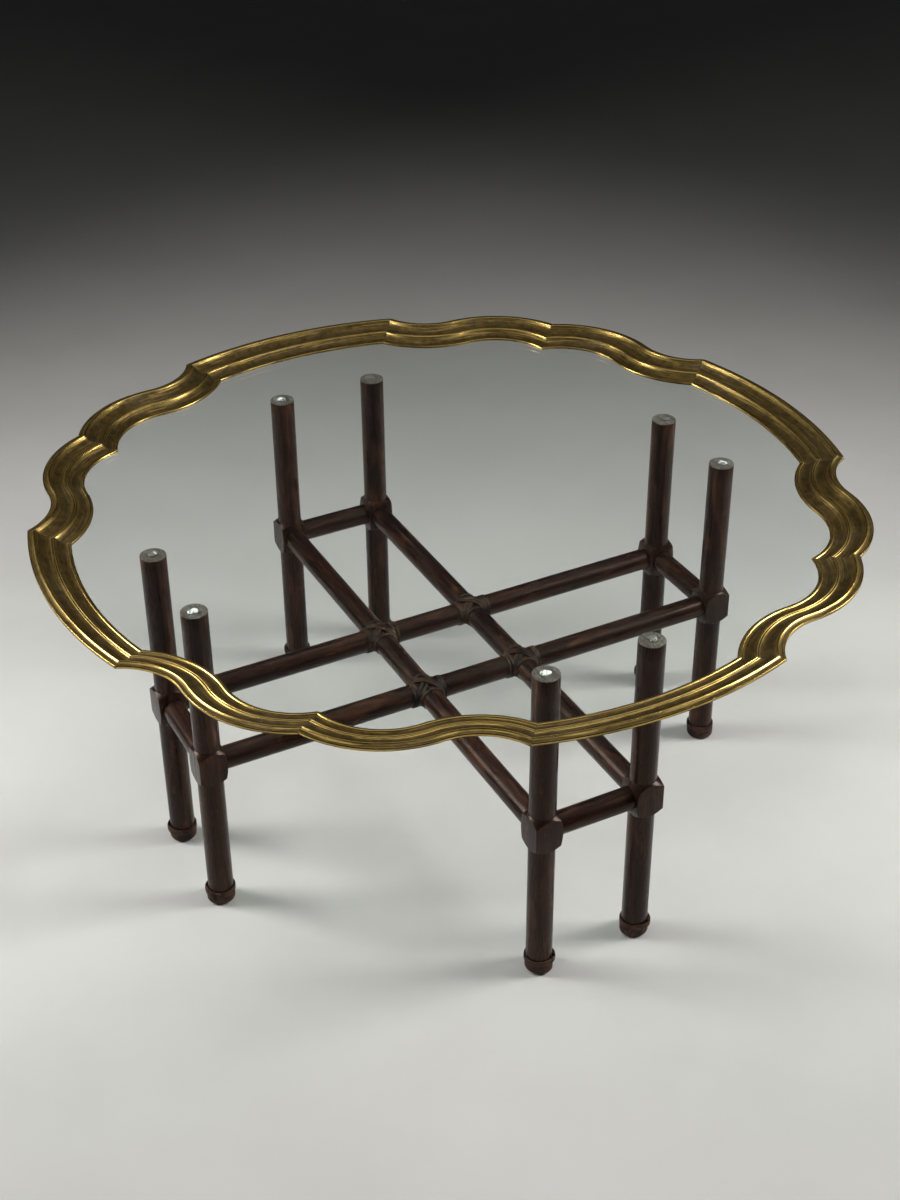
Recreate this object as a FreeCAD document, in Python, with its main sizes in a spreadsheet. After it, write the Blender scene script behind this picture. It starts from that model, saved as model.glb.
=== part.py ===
import FreeCAD, Part
import math
import os

import Sketcher

# A coffee table: a glass panel in a scalloped brass rim, lying loose on a stand of eight turned legs.
# Millimetres, +Z up, origin on the floor under the middle of the table. The long rails run along X
# and Y, so the four pairs of legs stand to the east (+X), north (+Y), west (-X) and south (-Y).

DIMENSIONS = [
    # heights of the whole table
    ("glass_top", 440.0, "top face of the glass above the floor"),
    ("rail_height", 216.0, "axis of every rail above the floor"),
    # plan of the stand
    ("leg_setout", 360.0, "leg axis from the middle of the table, along its long rail"),
    ("pair_spacing", 135.0, "between the two leg axes of a pair, and between the two long rails"),
    # legs, turned from square stock that is left square at the joint
    ("leg_diameter", 32.0, "turned part of the leg"),
    ("leg_edge", 1.5, "bevel on the top edge of the leg"),
    ("foot_edge", 3.5, "bevel on the bottom edge of the leg, under the leather"),
    ("block_proud", 2.0, "flats of the square block outside the turned part"),
    ("block_height", 48.5, "square block where its bevel meets the turned part"),
    ("bevel_angle", 40.0, "slope of the turned bevels on the block"),
    ("shoulder_margin", 2.5, "flat ring left round a rail where it meets the block"),
    ("shoulder_angle", 18.0, "slope of the turned shoulder outside that ring"),
    # rails
    ("rail_diameter", 28.6, "long and end rails"),
    ("tenon_diameter", 15.0, "round tenon on the end of a rail"),
    ("tenon_length", 21.0, "tenon of a long rail"),
    ("tenon_clearance", 0.2, "socket wider than the tenon, on the diameter"),
    ("socket_gap", 1.0, "socket deeper than the tenon"),
    ("tenon_web", 0.5, "wood left between the two sockets of a block"),
    ("lap_clearance", 0.1, "gap all round in the half-lapped crossings"),
    # leather
    ("lashing_thickness", 2.4, "wound strip on the crossings"),
    ("lashing_reach", 8.5, "how far the lashing runs out along a rail past the one it crosses"),
    ("wrap_base", 0.4, "foot wrap above the floor"),
    ("wrap_height", 22.0, "top edge of the foot wrap above the floor"),
    ("wrap_band", 7.5, "height of the doubled upper band"),
    ("wrap_thickness", 1.2, "single lower layer of the wrap"),
    ("wrap_band_thickness", 2.1, "doubled upper band"),
    ("wrap_edge", 0.6, "bevel on the top edge of the wrap"),
    # pads, glass and bedding
    ("pad_diameter", 14.0, "clear pad on each leg"),
    ("pad_thickness", 2.0, "clear pad on each leg"),
    ("glass_thickness", 8.0, "flat glass panel"),
    ("glass_edge_gap", 1.0, "between the edge of the glass and the wall of the rabbet"),
    ("bedding_thickness", 0.5, "clear bedding between the glass and the rim"),
    ("bedding_margin", 1.0, "bedding kept back from the edge of the lip and of the glass"),
    # plan of the rim, on its outer edge
    ("rim_radius", 508.0, "long arcs, from the middle of the table"),
    ("cusp_angle", 18.1, "where a long arc ends, measured from its middle"),
    ("hollow_radius", 79.5, "concave arc of a scroll"),
    ("hollow_bearing", 66.5, "direction from the cusp to the middle of the concave arc"),
    ("notch_angle", 20.3, "between a convex arc's radius at the notch and the diagonal"),
    ("mitre_angle", 38.3, "direction of the mitre at a cusp"),
    ("mitre_reach", 90.0, "how far a mitre cut runs to each side"),
    ("overshoot_angle", 5.0, "rim left long at a cusp before its mitre is cut"),
    ("swell_sweep", 118.0, "rim left long past the diagonal before its mitre is cut"),
    # section of the rim: inward from the outer edge, and up from the top of the glass
    ("rim_width", 50.0, "whole section"),
    ("edge_bottom", 12.5, "lower corner of the outer edge"),
    ("edge_top", 15.8, "upper corner of the outer edge"),
    ("ridge_in", 8.0, "outer ridge, inward"),
    ("ridge_up", 17.5, "outer ridge, up"),
    ("cove_foot_in", 27.0, "foot of the outer cove, inward"),
    ("cove_foot_up", 8.3, "foot of the outer cove, up"),
    ("cove_radius", 19.0, "outer cove"),
    ("bead_in", 29.5, "crest between the coves, inward"),
    ("bead_up", 9.4, "crest between the coves, up"),
    ("lip_width", 4.5, "flat lip along the inner edge"),
    ("inner_cove_up", 2.0, "foot of the inner cove, up"),
    ("inner_cove_radius", 16.0, "inner cove"),
    ("lip_up", 3.2, "top of the inner lip"),
    ("lip_bevel", 0.8, "bevel on the inner lip"),
    ("skirt_in", 32.0, "outer face of the skirt round the glass, inward"),
    ("skirt_thickness", 4.0, "skirt round the edge of the glass"),
    ("skirt_top", -1.0, "outer corner under the section where the skirt begins"),
]

SIDES = ("east", "north", "west", "south")

# A square's corner lies 0.71 of its width from its middle; a bevel cutter this far out passes it.
PAST_CORNER = 0.75


class Size:
    """A length, angle or place: its present value, and the expression that ties it to the sheet."""

    def __init__(self, text, value):
        self.text = text
        self.value = value

    def __add__(self, other):
        other = as_size(other)
        return Size("(%s + %s)" % (self.text, other.text), self.value + other.value)

    def __sub__(self, other):
        other = as_size(other)
        return Size("(%s - %s)" % (self.text, other.text), self.value - other.value)

    def __mul__(self, other):
        other = as_size(other)
        return Size("(%s * %s)" % (self.text, other.text), self.value * other.value)

    def __truediv__(self, other):
        other = as_size(other)
        return Size("(%s / %s)" % (self.text, other.text), self.value / other.value)

    def __neg__(self):
        return Size("(-1 * %s)" % self.text, -self.value)


def as_size(number):
    if isinstance(number, Size):
        return number
    return Size(repr(float(number)), float(number))


def cosine(angle):
    return Size("cos(%s)" % angle.text, math.cos(math.radians(angle.value)))


def sine(angle):
    return Size("sin(%s)" % angle.text, math.sin(math.radians(angle.value)))


def tangent(angle):
    return Size("tan(%s)" % angle.text, math.tan(math.radians(angle.value)))


class Sizes:
    """The driving dimensions by name, each bound to its cell."""

    def __init__(self, sheet_name, rows):
        for name, value, _ in rows:
            setattr(self, name, Size("%s.%s" % (sheet_name, name), value))


doc = FreeCAD.newDocument("TrayTable")


def make_sheet():
    sheet = doc.addObject("Spreadsheet::Sheet", "Dims")
    for row, (name, value, note) in enumerate(DIMENSIONS, start=1):
        sheet.set("A%d" % row, name)
        sheet.set("B%d" % row, str(value))
        sheet.set("C%d" % row, note)
        sheet.setAlias("B%d" % row, name)
    doc.recompute()


make_sheet()
D = Sizes("Dims", DIMENSIONS)
ZERO = as_size(0)

# Places worked out from the driving dimensions.
leg_radius = D.leg_diameter / 2
rail_radius = D.rail_diameter / 2
half_pair = D.pair_spacing / 2
half_block = leg_radius + D.block_proud
block_width = half_block * 2
glass_bottom = D.glass_top - D.glass_thickness
leg_top = glass_bottom - D.pad_thickness
end_tenon_length = half_block - D.tenon_diameter / 2 - D.socket_gap - D.tenon_web
glass_inset = D.skirt_in + D.skirt_thickness + D.glass_edge_gap

# Plan of the rim. The two middles of a scroll lie level, so its concave and convex arcs meet on
# the line between them. The convex arc then crosses the diagonal at the notch angle.
cusp = (D.rim_radius * cosine(D.cusp_angle), D.rim_radius * sine(D.cusp_angle))
hollow_centre = (
    cusp[0] + D.hollow_radius * cosine(D.hollow_bearing),
    cusp[1] + D.hollow_radius * sine(D.hollow_bearing),
)
scroll_reach = hollow_centre[0] - hollow_centre[1] - D.hollow_radius
swell_radius = scroll_reach / (sine(D.notch_angle) * math.sqrt(2) + 1)
centre_spacing = D.hollow_radius + swell_radius
swell_centre = (hollow_centre[0] - centre_spacing, hollow_centre[1])


# ---------------------------------------------------------------- helpers

def bind(thing, prop, size):
    """Set a property and tie it to the sheet."""
    if hasattr(thing, prop):
        setattr(thing, prop, size.value)
    thing.setExpression(prop, size.text)


def place(thing, x, y, z, turn=0):
    """Put a sub-part at a tied place, turned about Z by whole degrees."""
    turned = FreeCAD.Rotation(FreeCAD.Vector(0, 0, 1), turn)
    thing.Placement = FreeCAD.Placement(FreeCAD.Vector(x.value, y.value, z.value), turned)
    thing.setExpression("Placement.Base.x", x.text)
    thing.setExpression("Placement.Base.y", y.text)
    thing.setExpression("Placement.Base.z", z.text)


def quarter_turn(x, y, quarter):
    """A place in plan turned by quarters about the middle of the table."""
    return [(x, y), (-y, x), (-x, -y), (y, -x)][quarter % 4]


def new_body(label):
    body = doc.addObject("PartDesign::Body", label)
    body.Label = label
    return body


def new_sketch(body, name, role, offset=(ZERO, ZERO, ZERO)):
    """A sketch on one of the body's own origin planes, moved by tied distances."""
    sketch = body.newObject("Sketcher::SketchObject", name)
    plane = [feature for feature in body.Origin.OriginFeatures if feature.Role == role][0]
    sketch.AttachmentSupport = [(plane, "")]
    sketch.MapMode = "FlatFace"
    base = FreeCAD.Vector(*[size.value for size in offset])
    sketch.AttachmentOffset = FreeCAD.Placement(base, FreeCAD.Rotation())
    for axis, size in zip("xyz", offset):
        if size is not ZERO:
            sketch.setExpression("AttachmentOffset.Base.%s" % axis, size.text)
    return sketch


def dimension(sketch, kind, arguments, size):
    """Add a sketch constraint that is tied to the sheet."""
    index = sketch.addConstraint(Sketcher.Constraint(kind, *arguments, size.value))
    sketch.setExpression("Constraints[%d]" % index, size.text)


def pin_point(sketch, curve, end, point):
    """Hold one point of a curve at a tied place in the sketch."""
    x, y = point
    if x is ZERO:
        sketch.addConstraint(Sketcher.Constraint("PointOnObject", curve, end, -2))
    else:
        dimension(sketch, "DistanceX", (-1, 1, curve, end), x)
    if y is ZERO:
        sketch.addConstraint(Sketcher.Constraint("PointOnObject", curve, end, -1))
    else:
        dimension(sketch, "DistanceY", (-1, 1, curve, end), y)


def vector(point):
    return FreeCAD.Vector(point[0].value, point[1].value, 0)


def arc_about(middle, first_point, last_point):
    """Circular arc that runs anticlockwise about middle from one point to another."""
    circle = Part.Circle(middle, FreeCAD.Vector(0, 0, 1), first_point.distanceToPoint(middle))
    first = math.atan2(first_point.y - middle.y, first_point.x - middle.x)
    last = math.atan2(last_point.y - middle.y, last_point.x - middle.x)
    if last < first:
        last += 2 * math.pi
    return Part.ArcOfCircle(circle, first, last)


def bowed_arc(start, end, radius, side):
    """Arc from start to end that bows to the left of its chord (side 1) or to the right (-1)."""
    chord = end - start
    across = FreeCAD.Vector(-chord.y, chord.x, 0).normalize() * side
    middle = (start + end) / 2 - across * math.sqrt(radius ** 2 - (chord.Length / 2) ** 2)
    if side > 0:
        return arc_about(middle, end, start)
    return arc_about(middle, start, end)


def draw_outline(sketch, points, arcs=None):
    """A closed outline with every corner tied; arcs maps a stretch to its radius and side."""
    arcs = arcs or {}
    count = len(points)
    ends = []
    for index in range(count):
        start = vector(points[index])
        end = vector(points[(index + 1) % count])
        if index in arcs:
            radius, side = arcs[index]
            curve = sketch.addGeometry(bowed_arc(start, end, radius.value, side), False)
            ends.append((curve, 2, 1) if side > 0 else (curve, 1, 2))
        else:
            curve = sketch.addGeometry(Part.LineSegment(start, end), False)
            ends.append((curve, 1, 2))
    for index in range(count):
        after = ends[(index + 1) % count]
        sketch.addConstraint(Sketcher.Constraint("Coincident", ends[index][0], ends[index][2],
                                                 after[0], after[1]))
    for index in range(count):
        pin_point(sketch, ends[index][0], ends[index][1], points[index])
    for index, (radius, side) in arcs.items():
        dimension(sketch, "Radius", (ends[index][0],), radius)


def draw_circle(sketch, radius):
    circle = Part.Circle(FreeCAD.Vector(0, 0, 0), FreeCAD.Vector(0, 0, 1), radius.value)
    curve = sketch.addGeometry(circle, False)
    sketch.addConstraint(Sketcher.Constraint("Coincident", curve, 3, -1, 1))
    dimension(sketch, "Radius", (curve,), radius)


def feature(body, kind, name, sketch):
    made = body.newObject("PartDesign::" + kind, name)
    made.Profile = sketch
    sketch.Visibility = False
    return made


def pad(body, name, sketch, length, both_ways=False):
    made = feature(body, "Pad", name, sketch)
    made.Midplane = both_ways
    bind(made, "Length", length)
    return made


def pocket(body, name, sketch, depth, reverse=False):
    made = feature(body, "Pocket", name, sketch)
    made.Reversed = reverse
    bind(made, "Length", depth)
    return made


def pocket_through(body, name, sketch):
    made = feature(body, "Pocket", name, sketch)
    made.Type = "ThroughAll"
    made.Midplane = True
    return made


def turned(body, kind, name, sketch, axis, angle=None):
    """A Revolution or Groove round an axis of its sketch, right round unless an angle is given."""
    made = feature(body, kind, name, sketch)
    made.ReferenceAxis = (sketch, [axis])
    if angle is None:
        made.Angle = 360.0
    else:
        bind(made, "Angle", angle)
    return made


# ---------------------------------------------------------------- stand

def bevel_outline(inner, face, reach, into, slope):
    """Triangle that a turned bevel removes: from the face at radius inner, out to radius reach."""
    depth = (reach - inner) * tangent(slope)
    return [(inner, face), (reach, face), (reach, face + depth * into)]


def make_leg(label, mate_side):
    """Leg whose long rail comes in from -X and whose end rail comes in from mate_side along Y."""
    body = new_body(label)
    block_bottom = D.rail_height - D.block_height / 2
    block_top = D.rail_height + D.block_height / 2
    block_reach = block_width * PAST_CORNER

    square = new_sketch(body, "BlockPlan", "XY_Plane", (ZERO, ZERO, block_bottom))
    draw_outline(square, [(half_block, half_block), (-half_block, half_block),
                          (-half_block, -half_block), (half_block, -half_block)])
    pad(body, "Block", square, D.block_height)

    upper = new_sketch(body, "UpperBevelShape", "XZ_Plane")
    draw_outline(upper, bevel_outline(leg_radius, block_top, block_reach, -1, D.bevel_angle))
    turned(body, "Groove", "UpperBevel", upper, "V_Axis")
    lower = new_sketch(body, "LowerBevelShape", "XZ_Plane")
    draw_outline(lower, bevel_outline(leg_radius, block_bottom, block_reach, 1, D.bevel_angle))
    turned(body, "Groove", "LowerBevel", lower, "V_Axis")

    # Flat rings round the two rails: the block is turned away outside them, about each rail.
    shoulder = rail_radius + D.shoulder_margin
    shoulder_reach = D.block_height * PAST_CORNER
    long_ring = new_sketch(body, "LongShoulderShape", "XZ_Plane", (ZERO, D.rail_height, ZERO))
    corners = bevel_outline(shoulder, -half_block, shoulder_reach, 1, D.shoulder_angle)
    draw_outline(long_ring, [(along, out) for out, along in corners])
    turned(body, "Groove", "LongShoulder", long_ring, "H_Axis")
    end_ring = new_sketch(body, "EndShoulderShape", "YZ_Plane", (ZERO, D.rail_height, ZERO))
    corners = bevel_outline(shoulder, half_block * mate_side, shoulder_reach, -mate_side,
                            D.shoulder_angle)
    draw_outline(end_ring, [(along, out) for out, along in corners])
    turned(body, "Groove", "EndShoulder", end_ring, "H_Axis")

    shaft = new_sketch(body, "ShaftShape", "XZ_Plane")
    draw_outline(shaft, [(ZERO, ZERO), (leg_radius - D.foot_edge, ZERO), (leg_radius, D.foot_edge),
                         (leg_radius, leg_top - D.leg_edge), (leg_radius - D.leg_edge, leg_top),
                         (ZERO, leg_top)])
    turned(body, "Revolution", "Shaft", shaft, "V_Axis")

    socket_radius = (D.tenon_diameter + D.tenon_clearance) / 2
    long_socket = new_sketch(body, "LongSocketShape", "YZ_Plane",
                             (ZERO, D.rail_height, -half_block))
    draw_circle(long_socket, socket_radius)
    pocket(body, "LongSocket", long_socket, D.tenon_length + D.socket_gap, reverse=True)
    end_socket = new_sketch(body, "EndSocketShape", "XZ_Plane",
                            (ZERO, D.rail_height, half_block * -mate_side))
    draw_circle(end_socket, socket_radius)
    pocket(body, "EndSocket", end_socket, end_tenon_length + D.socket_gap, reverse=mate_side > 0)
    return body


def make_rail(label, length, tenon):
    """Round rail along X with a round tenon on each end."""
    body = new_body(label)
    section = new_sketch(body, "Section", "YZ_Plane")
    draw_circle(section, rail_radius)
    pad(body, "Bar", section, length, both_ways=True)
    tenon_section = new_sketch(body, "TenonSection", "YZ_Plane")
    draw_circle(tenon_section, D.tenon_diameter / 2)
    pad(body, "Tenons", tenon_section, length + tenon * 2, both_ways=True)
    return body


def cut_half_laps(body, side):
    """Half of the other rail's section taken out at both crossings, on top or underneath."""
    lap_radius = rail_radius + D.lap_clearance
    for number, where in enumerate((-half_pair, half_pair), start=1):
        lap = new_sketch(body, "LapShape%d" % number, "XZ_Plane", (where, ZERO, ZERO))
        draw_half_disc(lap, lap_radius, side)
        pocket_through(body, "Lap%d" % number, lap)


def draw_half_disc(sketch, radius, side):
    """Half of a circle about the sketch's origin, above (1) or below (-1) its X axis."""
    first = math.pi if side < 0 else 0.0
    circle = Part.Circle(FreeCAD.Vector(0, 0, 0), FreeCAD.Vector(0, 0, 1), radius.value)
    arc = sketch.addGeometry(Part.ArcOfCircle(circle, first, first + math.pi), False)
    ends = sketch.Geometry[arc]
    line = sketch.addGeometry(Part.LineSegment(ends.EndPoint, ends.StartPoint), False)
    sketch.addConstraint([
        Sketcher.Constraint("Coincident", arc, 3, -1, 1),
        Sketcher.Constraint("Coincident", arc, 2, line, 1),
        Sketcher.Constraint("Coincident", line, 2, arc, 1),
        Sketcher.Constraint("PointOnObject", line, 1, -1),
        Sketcher.Constraint("PointOnObject", line, 2, -1),
    ])
    dimension(sketch, "Radius", (arc,), radius)


def make_foot_wrap(label):
    """Leather strip round the foot of a leg, tucked in at the floor and doubled near its top."""
    body = new_body(label)
    lower = leg_radius + D.wrap_thickness
    upper = leg_radius + D.wrap_band_thickness
    band_bottom = D.wrap_height - D.wrap_band
    step = D.wrap_band_thickness - D.wrap_thickness
    tuck = D.foot_edge - D.wrap_base
    shape = new_sketch(body, "WrapShape", "XZ_Plane")
    draw_outline(shape, [
        (leg_radius - tuck, D.wrap_base),
        (lower - tuck, D.wrap_base),
        (lower, D.foot_edge),
        (lower, band_bottom),
        (upper, band_bottom + step),
        (upper, D.wrap_height - D.wrap_edge),
        (upper - D.wrap_edge, D.wrap_height),
        (leg_radius, D.wrap_height),
        (leg_radius, D.foot_edge),
    ])
    turned(body, "Revolution", "Wrap", shape, "V_Axis")
    return body


def lying_cylinder(name, radius, length, x, y, turn):
    """Cylinder centred on a crossing, along X (turn 0) or Y (turn 90)."""
    made = doc.addObject("Part::Cylinder", name)
    bind(made, "Radius", radius)
    bind(made, "Height", length)
    lie = FreeCAD.Rotation(FreeCAD.Vector(0, 1, 0), 90)
    made.Placement.Rotation = FreeCAD.Rotation(FreeCAD.Vector(0, 0, 1), turn).multiply(lie)
    start = (x - length / 2, y) if turn == 0 else (x, y - length / 2)
    for axis, size in zip("xyz", (start[0], start[1], D.rail_height)):
        made.setExpression("Placement.Base.%s" % axis, size.text)
    return made


def make_lashing(label, x, y):
    """Wound strip on a crossing, as a closed collar that fits its four arms."""
    outer = rail_radius + D.lashing_thickness
    inner = rail_radius + D.lap_clearance
    length = (rail_radius + D.lashing_reach) * 2
    outers = doc.addObject("Part::Fuse", label + "_outers")
    outers.Base = lying_cylinder(label + "_outer_x", outer, length, x, y, 0)
    outers.Tool = lying_cylinder(label + "_outer_y", outer, length, x, y, 90)
    rails = doc.addObject("Part::Fuse", label + "_rails")
    rails.Base = lying_cylinder(label + "_rail_x", inner, length * 2, x, y, 0)
    rails.Tool = lying_cylinder(label + "_rail_y", inner, length * 2, x, y, 90)
    collar = doc.addObject("Part::Cut", label)
    collar.Base = outers
    collar.Tool = rails
    collar.Label = label
    return collar


def leg_places():
    """Name, place and turn of each leg, with the side on which its partner stands."""
    places = []
    for quarter, side in enumerate(SIDES):
        for across in (1, -1):
            partner = SIDES[(quarter + across) % 4]
            x, y = quarter_turn(D.leg_setout, half_pair * across, quarter)
            places.append(("%s_%s" % (side, partner), x, y, quarter * 90, -across))
    return places


def build_stand():
    parts = []
    for name, x, y, turn, mate_side in leg_places():
        leg = make_leg("leg_" + name, mate_side)
        place(leg, x, y, ZERO, turn)
        wrap = make_foot_wrap("foot_wrap_" + name)
        place(wrap, x, y, ZERO, turn)
        parts += [leg, wrap]

    # The east-west rails are notched on top and the north-south rails underneath.
    long_length = (D.leg_setout - half_block) * 2
    for quarter, (side, notched) in enumerate(zip(SIDES, (-1, 1, -1, 1))):
        rail = make_rail("long_rail_" + side, long_length, D.tenon_length)
        cut_half_laps(rail, notched)
        x, y = quarter_turn(half_pair, ZERO, quarter)
        place(rail, x, y, D.rail_height, quarter * 90 + 90)
        parts.append(rail)

    end_length = D.pair_spacing - block_width
    for quarter, side in enumerate(SIDES):
        rail = make_rail("end_rail_" + side, end_length, end_tenon_length)
        x, y = quarter_turn(D.leg_setout, ZERO, quarter)
        place(rail, x, y, D.rail_height, quarter * 90 + 90)
        parts.append(rail)

    for quarter in range(4):
        x, y = quarter_turn(half_pair, half_pair, quarter)
        name = "lashing_%s_%s" % (SIDES[quarter], SIDES[(quarter + 1) % 4])
        parts.append(make_lashing(name, x, y))

    parts.append(make_pads())
    return parts


def make_pads():
    """One clear pad on each leg, all in one group."""
    group = doc.addObject("Part::Compound", "glass_pads")
    group.Label = "glass_pads"
    pads = []
    for name, x, y, _, _ in leg_places():
        disc = doc.addObject("Part::Cylinder", "pad_" + name)
        bind(disc, "Radius", D.pad_diameter / 2)
        bind(disc, "Height", D.pad_thickness)
        place(disc, x, y, leg_top)
        pads.append(disc)
    group.Links = pads
    return group


# ---------------------------------------------------------------- tray

def rim_section(outer_edge, inward):
    """Section of the rim as sketch points: outer_edge along X, inward towards +X (1) or -X (-1)."""
    skirt_inner = D.skirt_in + D.skirt_thickness
    lip_in = D.rim_width - D.lip_width
    stations = [
        (ZERO, D.edge_bottom),
        (ZERO, D.edge_top),
        (D.ridge_in, D.ridge_up),
        (D.cove_foot_in, D.cove_foot_up),
        (D.bead_in, D.bead_up),
        (lip_in, D.inner_cove_up),
        (lip_in, D.lip_up),
        (D.rim_width - D.lip_bevel, D.lip_up),
        (D.rim_width, D.lip_up - D.lip_bevel),
        (D.rim_width, D.bedding_thickness),
        (skirt_inner, D.bedding_thickness),
        (skirt_inner, -D.glass_thickness),
        (D.skirt_in, -D.glass_thickness),
        (D.skirt_in, D.skirt_top),
    ]
    points = [(outer_edge + along * inward, up) for along, up in stations]
    coves = {2: (D.cove_radius, -inward), 4: (D.inner_cove_radius, -inward)}
    return points, coves


def mitre_outline(corner, angle, towards):
    """Rectangle that removes everything on one side of a mitre line through corner."""
    along = (cosine(angle) * D.mitre_reach, sine(angle) * D.mitre_reach)
    across = (sine(angle) * D.mitre_reach * -towards, cosine(angle) * D.mitre_reach * towards)
    outside = (corner[0] + along[0], corner[1] + along[1])
    inside = (corner[0] - along[0], corner[1] - along[1])
    return [outside, inside,
            (inside[0] + across[0], inside[1] + across[1]),
            (outside[0] + across[0], outside[1] + across[1])]


def make_rim_arc(label):
    """Long arc about the middle of the table, mitred at both cusps."""
    body = new_body(label)
    section = new_sketch(body, "Section", "XZ_Plane")
    points, coves = rim_section(D.rim_radius, -1)
    draw_outline(section, points, coves)
    sweep = turned(body, "Revolution", "Sweep", section, "V_Axis",
                   (D.cusp_angle + D.overshoot_angle) * 2)
    sweep.Midplane = True
    for name, side in (("Left", 1), ("Right", -1)):
        mitre = new_sketch(body, name + "MitreShape", "XY_Plane")
        outline = mitre_outline(cusp, D.mitre_angle, 1)
        draw_outline(mitre, [(x, y * side) for x, y in outline])
        pocket_through(body, name + "Mitre", mitre)
    return body


def make_rim_scroll(label, hand):
    """Scroll from a cusp to the diagonal, to the left (1) or right (-1) of its long arc.

    The body's origin is the middle of the concave arc.
    """
    body = new_body(label)
    hollow_section = new_sketch(body, "HollowSection", "XZ_Plane")
    points, coves = rim_section(-D.hollow_radius, -1)
    draw_outline(hollow_section, points, coves)
    hollow = turned(body, "Revolution", "Hollow", hollow_section, "V_Axis",
                    D.hollow_bearing + D.overshoot_angle)
    hollow.Reversed = hand < 0
    swell_section = new_sketch(body, "SwellSection", "XZ_Plane", (-centre_spacing, ZERO, ZERO))
    points, coves = rim_section(swell_radius, -1)
    draw_outline(swell_section, points, coves)
    swell = turned(body, "Revolution", "Swell", swell_section, "V_Axis", D.swell_sweep)
    swell.Reversed = hand < 0

    cusp_mitre = new_sketch(body, "CuspMitreShape", "XY_Plane")
    corner = (cusp[0] - hollow_centre[0], cusp[1] - hollow_centre[1])
    outline = mitre_outline(corner, D.mitre_angle, -1)
    draw_outline(cusp_mitre, [(x, y * hand) for x, y in outline])
    pocket_through(body, "CuspMitre", cusp_mitre)

    # Everything past the diagonal of the table, as a triangle with its long side on the diagonal.
    far = D.rim_radius * 2
    near_end = (-hollow_centre[0], -hollow_centre[1])
    far_end = (far - hollow_centre[0], far - hollow_centre[1])
    diagonal_mitre = new_sketch(body, "DiagonalMitreShape", "XY_Plane")
    outline = [near_end, far_end, (near_end[0], far_end[1])]
    draw_outline(diagonal_mitre, [(x, y * hand) for x, y in outline])
    pocket_through(body, "DiagonalMitre", diagonal_mitre)
    return body


class Stretch:
    """One arc of a rim loop, drawn from start to end; turn is 1 where it runs anticlockwise."""

    def __init__(self, centre, start, end, turn, joint):
        self.centre = centre
        self.start = start
        self.end = end
        self.turn = turn
        self.joint = joint


def meeting_point(centre_a, radius_a, centre_b, radius_b, near):
    """Where two circles cross, the crossing nearest to a given place (present values)."""
    apart = centre_b - centre_a
    along = (radius_a ** 2 - radius_b ** 2 + apart.Length ** 2) / (2 * apart.Length)
    across = math.sqrt(radius_a ** 2 - along ** 2)
    unit = FreeCAD.Vector(apart).normalize()
    normal = FreeCAD.Vector(-unit.y, unit.x, 0)
    choices = [centre_a + unit * along + normal * across * sign for sign in (1, -1)]
    return min(choices, key=near.distanceToPoint)


def draw_rim_loop(sketch, inset):
    """Closed loop of twenty arcs that follows the rim at a tied distance in from its outer edge."""
    middle = FreeCAD.Vector(0, 0, 0)
    loop = []
    for quarter in range(4):
        cusps = []
        scrolls = []
        for hand in (-1, 1):
            hollow_at = quarter_turn(hollow_centre[0], hollow_centre[1] * hand, quarter)
            swell_at = quarter_turn(swell_centre[0], swell_centre[1] * hand, quarter)
            joint = quarter_turn(hollow_centre[0] - D.hollow_radius - inset,
                                 hollow_centre[1] * hand, quarter)
            corner = quarter_turn(cusp[0], cusp[1] * hand, quarter)
            diagonal = quarter_turn(D.rim_radius, D.rim_radius * hand, quarter)
            cusps.append(meeting_point(middle, (D.rim_radius - inset).value,
                                       vector(hollow_at), (D.hollow_radius + inset).value,
                                       vector(corner)))
            notch = notch_on_diagonal(vector(swell_at), (swell_radius - inset).value,
                                      vector(diagonal).normalize())
            scrolls.append((hollow_at, swell_at, joint, notch))
        hollow_at, swell_at, joint, notch = scrolls[0]
        loop.append(Stretch(swell_at, notch, vector(joint), 1, joint))
        loop.append(Stretch(hollow_at, vector(joint), cusps[0], -1, joint))
        loop.append(Stretch(None, cusps[0], cusps[1], 1, None))
        hollow_at, swell_at, joint, notch = scrolls[1]
        loop.append(Stretch(hollow_at, cusps[1], vector(joint), -1, joint))
        loop.append(Stretch(swell_at, vector(joint), notch, 1, joint))
    draw_arc_loop(sketch, loop, D.rim_radius - inset)


def notch_on_diagonal(centre, radius, unit):
    """Outer crossing of a circle with a line from the middle of the table (present values)."""
    along = centre.dot(unit)
    return unit * (along + math.sqrt(radius ** 2 - centre.dot(centre) + along ** 2))


def draw_arc_loop(sketch, loop, long_radius):
    """Draw the arcs of a loop end to end and tie their middles, joints and long radius."""
    drawn = []
    for piece in loop:
        middle = vector(piece.centre) if piece.centre else FreeCAD.Vector(0, 0, 0)
        first, last = (piece.start, piece.end) if piece.turn > 0 else (piece.end, piece.start)
        curve = sketch.addGeometry(arc_about(middle, first, last), False)
        drawn.append((curve, 1, 2) if piece.turn > 0 else (curve, 2, 1))
    for index, (curve, start_end, last_end) in enumerate(drawn):
        after = drawn[(index + 1) % len(drawn)]
        sketch.addConstraint(Sketcher.Constraint("Coincident", curve, last_end, after[0], after[1]))
    for (curve, start_end, last_end), piece in zip(drawn, loop):
        if piece.centre is None:
            sketch.addConstraint(Sketcher.Constraint("Coincident", curve, 3, -1, 1))
            dimension(sketch, "Radius", (curve,), long_radius)
            continue
        pin_point(sketch, curve, 3, piece.centre)
        if piece.turn < 0:
            joint_is_last = piece.end.distanceToPoint(vector(piece.joint)) < 1e-6
            pin_point(sketch, curve, last_end if joint_is_last else start_end, piece.joint)


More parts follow.
